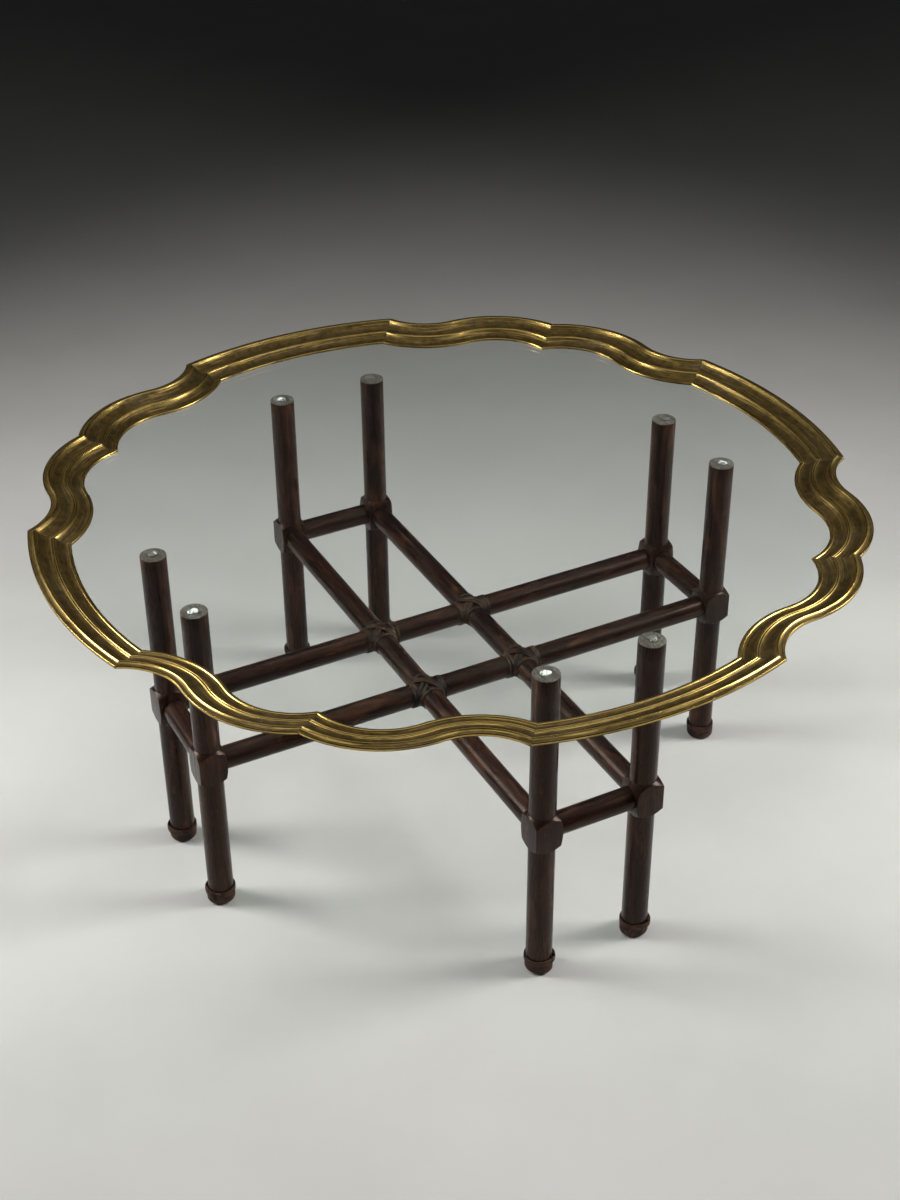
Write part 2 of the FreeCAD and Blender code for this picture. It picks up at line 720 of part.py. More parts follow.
def make_glass():
    body = new_body("glass_panel")
    plan = new_sketch(body, "GlassPlan", "XY_Plane")
    draw_rim_loop(plan, glass_inset)
    pad(body, "Panel", plan, D.glass_thickness)
    place(body, ZERO, ZERO, glass_bottom)
    return body


def make_bedding():
    body = new_body("glass_bedding")
    plan = new_sketch(body, "BeddingPlan", "XY_Plane")
    draw_rim_loop(plan, glass_inset + D.bedding_margin)
    pad(body, "Bead", plan, D.bedding_thickness)
    opening = new_sketch(body, "OpeningPlan", "XY_Plane")
    draw_rim_loop(opening, D.rim_width - D.bedding_margin)
    pocket_through(body, "Opening", opening)
    place(body, ZERO, ZERO, D.glass_top)
    return body


def build_tray():
    parts = [make_glass(), make_bedding()]
    for quarter, side in enumerate(SIDES):
        arc = make_rim_arc("rim_arc_" + side)
        place(arc, ZERO, ZERO, D.glass_top, quarter * 90)
        parts.append(arc)
        for hand in (1, -1):
            neighbour = SIDES[(quarter + hand) % 4]
            scroll = make_rim_scroll("rim_scroll_%s_%s" % (side, neighbour), hand)
            x, y = quarter_turn(hollow_centre[0], hollow_centre[1] * hand, quarter)
            place(scroll, x, y, D.glass_top, quarter * 90)
            parts.append(scroll)
    return parts


# ---------------------------------------------------------------- build, check and write

def check_document(parts):
    """Stop if any feature failed or any sub-part has no sound shape."""
    for thing in doc.Objects:
        if "Invalid" in thing.State or "Error" in thing.State:
            raise RuntimeError("%s did not compute: %s" % (thing.Label, thing.State))
    for part in parts:
        if part.Shape.isNull() or not part.Shape.isValid():
            raise RuntimeError("%s has no sound shape" % part.Label)


def write_parts(parts):
    os.makedirs("parts", exist_ok=True)
    for part in parts:
        part.Shape.exportStep("parts/%s.step" % part.Label)


all_parts = build_stand() + build_tray()
doc.recompute()
check_document(all_parts)
write_parts(all_parts)
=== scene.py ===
import math
import random

import bmesh
import bpy
from mathutils import Matrix, Vector


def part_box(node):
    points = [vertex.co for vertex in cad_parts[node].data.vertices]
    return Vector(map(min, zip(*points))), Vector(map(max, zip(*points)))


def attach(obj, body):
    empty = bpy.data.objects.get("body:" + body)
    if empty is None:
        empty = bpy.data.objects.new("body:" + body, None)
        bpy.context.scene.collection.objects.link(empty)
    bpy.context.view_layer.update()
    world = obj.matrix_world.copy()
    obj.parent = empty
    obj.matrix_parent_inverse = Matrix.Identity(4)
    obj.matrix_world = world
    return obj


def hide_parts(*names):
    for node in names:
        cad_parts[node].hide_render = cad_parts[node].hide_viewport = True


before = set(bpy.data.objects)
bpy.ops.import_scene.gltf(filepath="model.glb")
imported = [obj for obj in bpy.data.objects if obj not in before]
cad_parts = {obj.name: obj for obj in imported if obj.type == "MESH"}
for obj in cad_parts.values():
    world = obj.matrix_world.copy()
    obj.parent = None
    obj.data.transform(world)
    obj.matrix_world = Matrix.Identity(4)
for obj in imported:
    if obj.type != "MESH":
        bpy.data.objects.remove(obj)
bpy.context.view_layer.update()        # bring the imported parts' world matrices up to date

# A low table: a glass panel in a scalloped brass rim, loose on a stand of eight turned legs.
# Metres, +Z up, origin on the floor under the middle. East is +X and north is +Y.

SIDES = ("east", "north", "west", "south")
MM = 0.001

# The camera: where it stands, its bearing clockwise from north, its tilt down and its turn about its
# own axis. Its lens and sensor are in millimetres.
EYE = Vector((-0.9097, -1.7677, 1.6182))
HEADING, DOWN, ROLL = math.radians(27.28), math.radians(33.60), math.radians(-0.44)
FOCAL_LENGTH, SENSOR_WIDTH = 56.16, 36.0

# ------------------------------------------------------------------ sizes from the parts in model.glb

RIM_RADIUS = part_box("rim_arc_east")[1][0]
RIM_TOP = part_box("rim_arc_east")[1][2]
GLASS_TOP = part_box("glass_panel")[1][2]
GLASS_THICKNESS = GLASS_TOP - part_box("glass_panel")[0][2]
LEG_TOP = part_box("leg_east_north")[1][2]
PAD_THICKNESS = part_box("glass_pads")[1][2] - LEG_TOP
LEG_SETOUT = (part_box("leg_east_north")[0][0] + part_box("leg_east_north")[1][0]) / 2
HALF_PAIR = (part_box("long_rail_east")[0][0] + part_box("long_rail_east")[1][0]) / 2
RAIL_HEIGHT = (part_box("long_rail_east")[0][2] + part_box("long_rail_east")[1][2]) / 2
RAIL_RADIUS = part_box("long_rail_east")[1][2] - RAIL_HEIGHT
HALF_BLOCK = (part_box("leg_east_north")[1][0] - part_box("leg_east_north")[0][0]) / 2
BLOCK_PROUD = 2.0 * MM
LEG_RADIUS = HALF_BLOCK - BLOCK_PROUD
WRAP_BASE, WRAP_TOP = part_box("foot_wrap_east_north")[0][2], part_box("foot_wrap_east_north")[1][2]

# Plan of the rim, on its outer edge.
CUSP_ANGLE = math.radians(18.1)
HOLLOW_RADIUS = 79.5 * MM
HOLLOW_BEARING = math.radians(66.5)
NOTCH_ANGLE = math.radians(20.3)
MITRE_ANGLE = math.radians(38.3)

CUSP = Vector((RIM_RADIUS * math.cos(CUSP_ANGLE), RIM_RADIUS * math.sin(CUSP_ANGLE), 0))
HOLLOW_MIDDLE = CUSP + HOLLOW_RADIUS * Vector((math.cos(HOLLOW_BEARING), math.sin(HOLLOW_BEARING), 0))
SWELL_RADIUS = ((HOLLOW_MIDDLE.x - HOLLOW_MIDDLE.y - HOLLOW_RADIUS)
                / (1 + math.sqrt(2) * math.sin(NOTCH_ANGLE)))
SWELL_MIDDLE = HOLLOW_MIDDLE - Vector((HOLLOW_RADIUS + SWELL_RADIUS, 0, 0))

# Legs: the square block, its turned bevels, and how far the edges are eased.
BLOCK_HALF_HEIGHT = 24.25 * MM
BEVEL_SLOPE = math.tan(math.radians(40.0))
SHOULDER_SLOPE = math.tan(math.radians(18.0))
SHOULDER_MARGIN = 2.5 * MM
SHOULDER_RADIUS = RAIL_RADIUS + SHOULDER_MARGIN
BLOCK_EASE = 0.45 * MM
FOOT_EASE = 3.5 * MM
TOP_EASE = 0.8 * MM

# Leather: the strip of the lashings, and the two strips round each foot.
LASHING_THICKNESS = 1.5 * MM
LOWER_STRIP_TOP, LOWER_STRIP_THICKNESS = 15.6 * MM, 1.1 * MM
BAND_BASE, BAND_THICKNESS = 14.3 * MM, 1.5 * MM

PAD_RADIUS = 5.6 * MM
ANY_ANGLE = (0, 6.28)


# ------------------------------------------------------------------ node helpers

class Shading:
    """Adds and links shader nodes of one tree."""

    def __init__(self, tree):
        self.tree = tree

    def add(self, kind, inputs=None, **settings):
        node = self.tree.nodes.new(kind)
        for name, value in settings.items():
            setattr(node, name, value)
        for name, value in (inputs or {}).items():
            self.put(node.inputs[name], value)
        return node

    def put(self, socket, value):
        if isinstance(value, bpy.types.NodeSocket):
            self.tree.links.new(value, socket)
        else:
            socket.default_value = value

    def maths(self, operation, first, second, clamp=False):
        node = self.tree.nodes.new("ShaderNodeMath")
        node.operation = operation
        node.use_clamp = clamp
        self.put(node.inputs[0], first)
        self.put(node.inputs[1], second)
        return node.outputs[0]

    def plus(self, first, second, clamp=False):
        return self.maths("ADD", first, second, clamp)

    def times(self, first, second):
        return self.maths("MULTIPLY", first, second)

    def weighted(self, *terms):
        """The sum of (value, weight) pairs."""
        total = None
        for value, weight in terms:
            part = self.times(value, weight)
            total = part if total is None else self.plus(total, part)
        return total

    def stretch(self, value, low, high, to_low=0.0, to_high=1.0):
        """Map a value from one range to another, held at the ends, with a smooth step."""
        node = self.add("ShaderNodeMapRange", interpolation_type="SMOOTHSTEP")
        for socket, number in zip(range(5), (value, low, high, to_low, to_high)):
            self.put(node.inputs[socket], number)
        return node.outputs[0]

    def mix(self, share, first, second):
        node = self.tree.nodes.new("ShaderNodeMix")
        node.data_type = "RGBA"
        self.put(node.inputs["Factor"], share)
        self.put(node.inputs["A"], first)
        self.put(node.inputs["B"], second)
        return node.outputs["Result"]

    def noise(self, coordinates, scale, detail=4.0, roughness=0.55, distortion=0.0):
        node = self.add("ShaderNodeTexNoise", {"Vector": coordinates, "Scale": scale, "Detail": detail,
                                               "Roughness": roughness, "Distortion": distortion})
        return node.outputs["Fac"]

    def mapped(self, coordinates, scale, turn=(0, 0, 0)):
        node = self.add("ShaderNodeMapping", {"Vector": coordinates, "Scale": scale, "Rotation": turn})
        return node.outputs["Vector"]

    def place(self):
        return self.add("ShaderNodeTexCoord").outputs["Object"]

    def run(self, uv_name):
        """Metres along a swept piece, and metres round its section."""
        return self.add("ShaderNodeUVMap", uv_map=uv_name).outputs["UV"]

    def mark(self, name):
        """A value that the mesh carries on its vertices."""
        return self.add("ShaderNodeAttribute", attribute_name=name).outputs["Fac"]


def new_group(name, inputs, outputs):
    """A shader node group with named sockets; returns the tree, its helper and its two ends."""
    tree = bpy.data.node_groups.new(name, "ShaderNodeTree")
    for label, kind, value in inputs:
        socket = tree.interface.new_socket(label, in_out="INPUT", socket_type=kind)
        if value is not None:
            socket.default_value = value
    for label, kind in outputs:
        tree.interface.new_socket(label, in_out="OUTPUT", socket_type=kind)
    shading = Shading(tree)
    return tree, shading, shading.add("NodeGroupInput"), shading.add("NodeGroupOutput")


FLOAT, VECTOR = "NodeSocketFloat", "NodeSocketVector"


def make_grain_group():
    """Fine wood fibre along one direction, with broad bands of light and dark and small scuffs."""
    tree, s, start, end = new_group(
        "Wood grain",
        [("Place", VECTOR, None), ("Fibre Spacing", FLOAT, 320.0), ("Band Spacing", FLOAT, 26.0)],
        [("Fibre", FLOAT), ("Band", FLOAT), ("Scuff", FLOAT), ("Height", FLOAT)])
    place = start.outputs["Place"]
    fibre = s.noise(place, start.outputs["Fibre Spacing"], 5.0, 0.62, 0.2)
    band = s.noise(place, start.outputs["Band Spacing"], 3.0, 0.5, 0.6)
    scuff = s.noise(place, 75.0, 6.0, 0.7)
    s.put(end.inputs["Fibre"], s.stretch(fibre, 0.35, 0.68))
    s.put(end.inputs["Band"], s.stretch(band, 0.36, 0.66))
    s.put(end.inputs["Scuff"], s.stretch(scuff, 0.60, 0.72))
    s.put(end.inputs["Height"], s.weighted((fibre, 0.7), (band, 0.3)))
    return tree


def make_dust_group():
    """Soft uneven film and fine specks, the same at every scale of piece."""
    tree, s, start, end = new_group(
        "Dust and specks", [("Place", VECTOR, None), ("Speck Size", FLOAT, 900.0)],
        [("Film", FLOAT), ("Specks", FLOAT)])
    film = s.noise(start.outputs["Place"], 14.0, 6.0, 0.6)
    specks = s.noise(start.outputs["Place"], start.outputs["Speck Size"], 2.0, 0.5)
    s.put(end.inputs["Film"], s.stretch(film, 0.42, 0.72))
    s.put(end.inputs["Specks"], s.stretch(specks, 0.66, 0.78))
    return tree


GRAIN = make_grain_group()
DUST = make_dust_group()


def new_material(name):
    material = bpy.data.materials.new(name)
    material.use_nodes = True
    material.node_tree.nodes.clear()
    shading = Shading(material.node_tree)
    output = shading.add("ShaderNodeOutputMaterial")
    return material, shading, output


def spaced(inputs):
    """Socket names as the shader spells them, from Python names."""
    return {name.replace("_", " "): value for name, value in inputs.items()}


def surface(s, output, **inputs):
    """A Principled shader with these sockets set, joined to the material's output."""
    shader = s.add("ShaderNodeBsdfPrincipled", spaced(inputs))
    s.put(output.inputs["Surface"], shader.outputs["BSDF"])


def bump(s, height, strength, distance):
    node = s.add("ShaderNodeBump", {"Height": height, "Strength": strength, "Distance": distance})
    return node.outputs["Normal"]


def from_group(s, tree, **inputs):
    return s.add("ShaderNodeGroup", spaced(inputs), node_tree=tree).outputs


# ------------------------------------------------------------------ materials

def dark_wood(name, along, end_grain=False):
    """Very dark brown stain under a worn lacquer, with its grain along one axis."""
    dark, light = (0.0080, 0.0034, 0.0027, 1), (0.028, 0.0104, 0.0066, 1)
    fibre_line, pore = (0.006, 0.0028, 0.0022, 1), (0.004, 0.002, 0.0016, 1)
    red_patch, scuffed, dusty = (0.088, 0.033, 0.0175, 1), (0.165, 0.095, 0.066, 1), (0.16, 0.13, 0.115, 1)
    material, s, output = new_material(name)
    place = s.place()

    def with_the_grain(squeeze, across=1.0):
        """The place, squeezed along the grain so that a pattern is drawn out."""
        scale = [across] * 3
        scale[along] = across * squeeze
        return s.mapped(place, scale)

    grain = from_group(s, GRAIN, Place=with_the_grain(0.035), Band_Spacing=95.0)
    dust = from_group(s, DUST, Place=place)
    patches = s.noise(with_the_grain(0.20), 62.0, 5.0, 0.62, 0.7)
    pores = s.noise(with_the_grain(0.035, 3.0), 520.0, 3.0, 0.6)
    stain = s.mix(grain["Band"], dark, light)
    stain = s.mix(s.stretch(patches, 0.50, 0.68, 0.0, 0.85), stain, red_patch)
    stain = s.mix(s.times(grain["Fibre"], 0.62), stain, fibre_line)
    stain = s.mix(s.stretch(pores, 0.56, 0.68, 0.0, 0.55), stain, pore)
    stain = s.mix(s.times(grain["Scuff"], 0.50), stain, scuffed)
    stain = s.mix(s.times(dust["Film"], 0.025), stain, dusty)
    roughness = s.plus(s.times(grain["Fibre"], 0.12), s.plus(s.times(dust["Film"], 0.10), 0.22))
    if end_grain:
        grey_dark, grey_light = (0.026, 0.022, 0.018, 1), (0.205, 0.185, 0.160, 1)
        ray = (0.050, 0.043, 0.036, 1)
        height = s.add("ShaderNodeSeparateXYZ", {"Vector": place}).outputs["Z"]
        cut = s.stretch(height, LEG_TOP - 0.7 * MM, LEG_TOP - 0.35 * MM)
        vessels = s.noise(s.mapped(place, (1, 1, 0.1)), 620.0, 5.0, 0.7)
        rays = s.noise(s.mapped(place, (1.0, 0.12, 0.1), (0, 0, 0.5)), 260.0, 4.0, 0.6)
        grey = s.mix(s.stretch(vessels, 0.40, 0.60), grey_dark, grey_light)
        grey = s.mix(s.stretch(rays, 0.43, 0.60, 0.0, 0.80), grey, ray)
        stain = s.mix(s.times(cut, 0.92), stain, grey)
        roughness = s.plus(roughness, s.times(cut, 0.30))
    surface(s, output, Base_Color=stain, Roughness=roughness, Specular_IOR_Level=0.26,
            Specular_Tint=(1.0, 0.66, 0.52, 1), Coat_Weight=0.05, Coat_Roughness=0.15,
            Normal=bump(s, grain["Height"], 0.40, 0.5 * MM))
    return material


def leather_strip(name, dark, light, worn):
    """Waxed leather strip: fibres along the strip, cracks across it, rubbed high spots."""
    material, s, output = new_material(name)
    run = s.run("Strip")
    place = s.place()
    fibres = s.noise(s.mapped(run, (0.12, 1.0, 1.0)), 1500.0, 5.0, 0.65)
    creases = s.noise(s.mapped(run, (1.0, 0.35, 1.0)), 420.0, 3.0, 0.6, 0.4)
    blotches = s.noise(place, 55.0, 4.0, 0.6)
    rubbed = s.noise(place, 210.0, 5.0, 0.7)
    colour = s.mix(s.stretch(blotches, 0.38, 0.64), dark, light)
    colour = s.mix(s.stretch(fibres, 0.48, 0.66, 0.0, 0.5), colour, dark)
    colour = s.mix(s.stretch(rubbed, 0.56, 0.70, 0.0, 0.55), colour, worn)
    height = s.weighted((fibres, 0.6), (creases, 0.5))
    roughness = s.stretch(rubbed, 0.40, 0.70, 0.58, 0.36)
    surface(s, output, Base_Color=colour, Roughness=roughness, Specular_IOR_Level=0.18,
            Normal=bump(s, height, 0.60, 0.7 * MM))
    return material


def aged_brass():
    """Brass gone brown in its coves and bright where it is handled, streaked along the moulding; the same
    dark brown is painted under the rim as shade.
    """
    bright, dull = (0.76, 0.535, 0.165, 1), (0.52, 0.345, 0.092, 1)
    brown, black_brown = (0.110, 0.068, 0.0180, 1), (0.020, 0.0125, 0.0045, 1)
    pit, dirt, dusty = (0.06, 0.04, 0.018, 1), (0.035, 0.024, 0.012, 1), (0.5, 0.45, 0.36, 1)
    material, s, output = new_material("aged_brass")
    run = s.run("Moulding")
    place = s.place()
    joint = s.mark("joint")
    dust = from_group(s, DUST, Place=place, Speck_Size=1300.0)

    streaks = s.noise(s.mapped(run, (0.020, 1.0, 1.0)), 760.0, 6.0, 0.74)
    wipes = s.noise(s.mapped(run, (0.055, 1.0, 1.0)), 230.0, 5.0, 0.66, 0.3)
    clouds = s.noise(place, 17.0, 5.0, 0.6, 0.3)
    pits = s.noise(place, 480.0, 3.0, 0.6)
    smudges = s.noise(place, 95.0, 5.0, 0.68, 0.5)
    # The cove mark darkens the coves with patina, and the underside, skirt and foot of the outer edge with
    # painted shade.
    tarnish_and_shade = s.weighted((s.mark("cove_patina_and_underside_shade"), 0.74), (s.stretch(clouds, 0.35, 0.68), 0.34),
                         (s.stretch(wipes, 0.40, 0.62), 0.58), (s.stretch(streaks, 0.42, 0.62), 0.46),
                         (s.mark("crest"), -1.05))
    patina_and_shade = s.stretch(tarnish_and_shade, 0.32, 1.12)

    clean = s.mix(s.stretch(streaks, 0.38, 0.62), bright, dull)
    tarnished_and_shaded = s.mix(s.stretch(smudges, 0.36, 0.64), brown, black_brown)
    colour = s.mix(s.times(patina_and_shade, 0.92), clean, tarnished_and_shaded)
    colour = s.mix(s.times(s.stretch(pits, 0.64, 0.74), 0.6), colour, pit)
    colour = s.mix(s.times(joint, 0.85), colour, dirt)
    colour = s.mix(s.times(dust["Film"], 0.06), colour, dusty)

    roughness = s.plus(s.weighted((patina_and_shade, 0.26), (dust["Film"], 0.06)), s.plus(s.times(streaks, 0.10), 0.18))
    roughness = s.plus(roughness, s.times(joint, 0.3), clamp=True)
    covered = s.plus(s.times(patina_and_shade, 0.25), joint)
    metallic = s.maths("SUBTRACT", 1.0, s.times(covered, 0.5), clamp=True)
    height = s.weighted((streaks, 0.5), (s.stretch(pits, 0.60, 0.74), -0.8), (clouds, 1.4))
    surface(s, output, Base_Color=colour, Metallic=metallic, Roughness=roughness,
            Normal=bump(s, height, 0.30, 0.35 * MM))
    return material


def table_glass():
    """Clear float glass with a faint grey-green tint, light smears and small scratches."""
    clean, smeared, shade = (0.945, 0.980, 0.960, 1), (0.925, 0.955, 0.935, 1), (0.915, 0.955, 0.935, 1)
    material, s, output = new_material("table_glass")
    place = s.place()
    dust = from_group(s, DUST, Place=place, Speck_Size=700.0)
    scratches = s.noise(s.mapped(place, (1.0, 0.05, 1.0), (0, 0, 0.6)), 190.0, 3.0, 0.6)
    roughness = s.weighted((dust["Film"], 0.018), (s.stretch(scratches, 0.66, 0.74), 0.03))
    tint = s.mix(s.times(dust["Film"], 0.5), clean, smeared)
    shader = s.add("ShaderNodeBsdfPrincipled", {
        "Base Color": tint, "Metallic": 0.0, "Roughness": roughness, "IOR": 1.5, "Transmission Weight": 1.0})
    clear = s.add("ShaderNodeBsdfTransparent", {"Color": shade})
    shadow = s.add("ShaderNodeLightPath").outputs["Is Shadow Ray"]
    mixed = s.add("ShaderNodeMixShader", {0: shadow, 1: shader.outputs["BSDF"], 2: clear.outputs["BSDF"]})
    s.put(output.inputs["Surface"], mixed.outputs["Shader"])
    return material


def clear_bedding():
    """Thin bedding strip between glass and brass, yellowed unevenly."""
    pale, yellowed = (0.48, 0.47, 0.40, 1), (0.33, 0.30, 0.21, 1)
    material, s, output = new_material("clear_bedding")
    dust = from_group(s, DUST, Place=s.place())
    colour = s.mix(dust["Film"], pale, yellowed)
    surface(s, output, Base_Color=colour, Roughness=s.stretch(dust["Specks"], 0.0, 1.0, 0.35, 0.6),
            Normal=bump(s, dust["Specks"], 0.2, 0.1 * MM))
    return material


def clouded_pad():
    """Soft clear dab, clouded white where it has pressed against the glass."""
    clear, white = (0.115, 0.108, 0.095, 1), (0.84, 0.85, 0.83, 1)
    material, s, output = new_material("clear_pad")
    cloud = s.plus(s.noise(s.place(), 230.0, 5.0, 0.60, 0.5), s.mark("clouding"))
    colour = s.mix(s.stretch(cloud, 0.72, 0.86), clear, white)
    surface(s, output, Base_Color=colour, Roughness=s.stretch(cloud, 0.3, 0.7, 0.30, 0.5),
            Subsurface_Weight=0.25, Subsurface_Scale=1.5 * MM, Normal=bump(s, cloud, 0.4, 0.3 * MM))
    return material


WOOD_X = dark_wood("dark_wood_east_west", 0)
WOOD_Y = dark_wood("dark_wood_north_south", 1)
WOOD_Z = dark_wood("dark_wood_legs", 2, end_grain=True)
LASHING = leather_strip("lashing_leather", dark=(0.009, 0.0048, 0.0032, 1), light=(0.062, 0.032, 0.017, 1),
                        worn=(0.125, 0.080, 0.048, 1))
WRAP = leather_strip("wrap_leather", dark=(0.018, 0.0085, 0.0055, 1), light=(0.085, 0.037, 0.021, 1),
                     worn=(0.27, 0.165, 0.110, 1))
BRASS = aged_brass()
GLASS = table_glass()
BEDDING = clear_bedding()
PAD = clouded_pad()


# ------------------------------------------------------------------ sweeping a section along a path

def make_sweep_tree():
    """Sweep a closed section along a path: its X follows the path's lay, its Y stands across that."""
    tree = bpy.data.node_groups.new("Sweep a section", "GeometryNodeTree")
    face = tree.interface
    face.new_socket("Path", in_out="INPUT", socket_type="NodeSocketGeometry")
    face.new_socket("Section", in_out="INPUT", socket_type="NodeSocketObject")
    face.new_socket("Finish", in_out="INPUT", socket_type="NodeSocketMaterial")
    face.new_socket("Close Ends", in_out="INPUT", socket_type="NodeSocketBool")
    face.new_socket("Swept", in_out="OUTPUT", socket_type="NodeSocketGeometry")
    s = Shading(tree)
    start = s.add("NodeGroupInput")
    end = s.add("NodeGroupOutput")

    def length_along(curve):
        along = s.add("GeometryNodeSplineParameter").outputs["Length"]
        capture = s.add("GeometryNodeCaptureAttribute", domain="POINT")
        capture.capture_items.new("FLOAT", "Length")
        s.put(capture.inputs["Geometry"], curve)
        s.put(capture.inputs["Length"], along)
        return capture.outputs["Geometry"], capture.outputs["Length"]

    path = s.add("GeometryNodeMeshToCurve", {"Mesh": start.outputs["Path"]}).outputs["Curve"]
    lay = s.add("GeometryNodeInputNamedAttribute", {"Name": "lay"}, data_type="FLOAT_VECTOR")
    path = s.add("GeometryNodeSetCurveNormal", {"Curve": path, "Normal": lay.outputs["Attribute"]},
                 mode="FREE").outputs["Curve"]
    path, along = length_along(path)
    section = s.add("GeometryNodeObjectInfo", {"Object": start.outputs["Section"]}).outputs["Geometry"]
    section = s.add("GeometryNodeMeshToCurve", {"Mesh": section}).outputs["Curve"]
    section, across = length_along(section)
    swept = s.add("GeometryNodeCurveToMesh", {"Curve": path, "Profile Curve": section,
                                              "Fill Caps": start.outputs["Close Ends"]}).outputs["Mesh"]
    both = s.add("ShaderNodeCombineXYZ", {"X": along, "Y": across}).outputs["Vector"]
    stored = s.add("GeometryNodeStoreNamedAttribute",
                   {"Geometry": swept, "Name": "Run", "Value": both},
                   data_type="FLOAT2", domain="CORNER").outputs["Geometry"]
    smooth = s.add("GeometryNodeSetShadeSmooth", {"Geometry": stored}).outputs["Geometry"]
    whole = s.add("GeometryNodeRealizeInstances", {"Geometry": smooth}).outputs["Geometry"]
    finished = s.add("GeometryNodeSetMaterial", {"Geometry": whole, "Material": start.outputs["Finish"]})
    s.put(end.inputs["Swept"], finished.outputs["Geometry"])
    return tree


SWEEP = make_sweep_tree()


def wire(name, points, closed, lay=()):
    """A bare line of edges for the sweep, with the direction its section lies in at each point."""
    mesh = bpy.data.meshes.new(name)
    count = len(points)
    edges = [(i, i + 1) for i in range(count - 1)] + ([(count - 1, 0)] if closed else [])
    mesh.from_pydata([tuple(point) for point in points], edges, [])
    if lay:
        stored = mesh.attributes.new("lay", "FLOAT_VECTOR", "POINT")
        for index, direction in enumerate(lay):
            stored.data[index].vector = direction
    line = bpy.data.objects.new(name, mesh)
    bpy.context.scene.collection.objects.link(line)
    return line


def sweep(name, points, lay, section, finish, uv_name, closed=False):
    """Sweep a section along a path and return the plain mesh that comes out."""
    path = wire(name + "_path", points, closed, lay)
    shape = wire(name + "_section", [(x, y, 0) for x, y in section], True)
    modifier = path.modifiers.new("Sweep", "NODES")
    modifier.node_group = SWEEP
    values = {"Section": shape, "Finish": finish, "Close Ends": not closed}
    for item in SWEEP.interface.items_tree:
        if item.in_out == "INPUT" and item.name in values:
            modifier[item.identifier] = values[item.name]
    evaluated = path.evaluated_get(bpy.context.evaluated_depsgraph_get())
    mesh = bpy.data.meshes.new_from_object(evaluated)
    mesh.attributes["Run"].name = uv_name
    if "lay" in mesh.attributes:
        mesh.attributes.remove(mesh.attributes["lay"])
    for helper in (path, shape):
        data = helper.data
        bpy.data.objects.remove(helper)
        bpy.data.meshes.remove(data)
    return mesh


def new_piece(name, mesh, body, slot, *nodes):
    """A visible piece that moves with a body and stands in for these nodes."""
    piece = bpy.data.objects.new(name, mesh)
    bpy.context.scene.collection.objects.link(piece)
    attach(piece, body)
    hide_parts(*nodes)
    return piece


def joined(name, meshes, finish):
    """Several meshes made one, with one finish; the meshes themselves are used up."""
    whole = bmesh.new()
    for mesh in meshes:
        whole.from_mesh(mesh)
        bpy.data.meshes.remove(mesh)
    result = bpy.data.meshes.new(name)
    whole.to_mesh(result)
    whole.free()
    result.materials.clear()
    result.materials.append(finish)
    for polygon in result.polygons:
        polygon.material_index = 0
    return result


# ------------------------------------------------------------------ brass rim

def arc_points(start, end, radius, bow, steps):
    """Points after start up to end on an arc of the section, bowed down (1) or up (-1)."""
    start, end = Vector(start), Vector(end)
    chord = end - start
    across = Vector((chord.y, -chord.x)).normalized() * bow
    middle = (start + end) / 2 - across * math.sqrt(radius ** 2 - (chord.length / 2) ** 2)
    first = start - middle
    turn = first.angle_signed(end - middle)
    points = []
    for step in range(1, steps + 1):
        angle = -turn * step / steps
        turned = Vector((first.x * math.cos(angle) - first.y * math.sin(angle),
                         first.x * math.sin(angle) + first.y * math.cos(angle)))
        points.append(tuple(middle + turned))
    return points


def rim_section():
    """Section in millimetres, inward from the outer edge and up from the glass, as (in, up)."""
    skirt_outer, skirt_inner = 32.0, 36.0
    under_glass = -GLASS_THICKNESS / MM
    top = RIM_TOP / MM - GLASS_TOP / MM
    points = [(0.0, 12.7), (0.0, 15.1), (0.12, 15.5), (0.45, 15.8), (1.1, 15.7), (3.0, 15.7), (5.0, 15.95),
              (6.4, 16.4), (7.2, 16.95), (7.7, top - 0.12), (8.1, top), (8.5, top - 0.2), (9.0, 16.8)]
    points += arc_points((9.0, 16.8), (26.2, 8.5), 18.5, 1, 14)
    points += [(26.7, 8.9), (27.3, 9.25), (27.9, 9.25), (28.4, 8.9), (28.8, 8.75), (29.2, 9.0), (29.7, 9.35),
               (30.3, 9.3), (30.8, 8.8)]
    points += arc_points((30.8, 8.8), (44.9, 2.2), 15.0, 1, 12)
    points += [(45.3, 2.3), (45.6, 2.8), (46.0, 3.15), (46.6, 3.25), (48.6, 3.2), (49.4, 3.0), (49.8, 2.5),
               (50.0, 1.9), (50.0, 0.5), (43.0, 0.5), (skirt_inner, 0.5), (skirt_inner, -4.0),
               (skirt_inner, under_glass + 0.3), (skirt_inner - 0.3, under_glass), (34.0, under_glass),
               (skirt_outer + 0.5, under_glass), (skirt_outer, under_glass + 0.5), (skirt_outer, -4.0),
               (skirt_outer, -1.4), (31.6, -0.8), (24.0, 2.4), (12.0, 7.4), (1.0, 12.1), (0.3, 12.4)]
    return points


def hollowness(section):
    """For each point of the section, how deep it lies in a cove and how proud it stands; the underside, the
    skirt and the foot of the outer edge are set fully deep, as painted shade.
    """
    # How far in from the outer edge, and half how wide, in millimetres.
    coves = ((17.5, 8.0), (38.0, 6.5), (28.6, 0.5), (45.1, 0.6), (3.2, 2.2))
    crests = ((8.1, 0.75), (27.6, 0.6), (30.0, 0.65), (45.9, 0.6), (0.4, 0.6))
    underside_edge, underside_fall, margin = 12.9, 0.41, 0.5
    skirt_from, lip_base = 31.0, 1.0

    def nearness(inward, places):
        return max(math.exp(-((inward - at) / wide) ** 2) for at, wide in places)

    deep, proud = [], []
    for inward, up in section:
        skirt = inward > skirt_from and up < lip_base
        under = skirt or up < underside_edge - underside_fall * inward + margin
        cove, crest = nearness(inward, coves), nearness(inward, crests)
        # Points under the rim get the full value: painted shade on the underside, the skirt and the foot of
        # the outer edge.
        deep.append(1.0 if under else cove * (1.0 - crest))
        proud.append(0.0 if under else crest)
    return deep, proud


SECTION = rim_section()


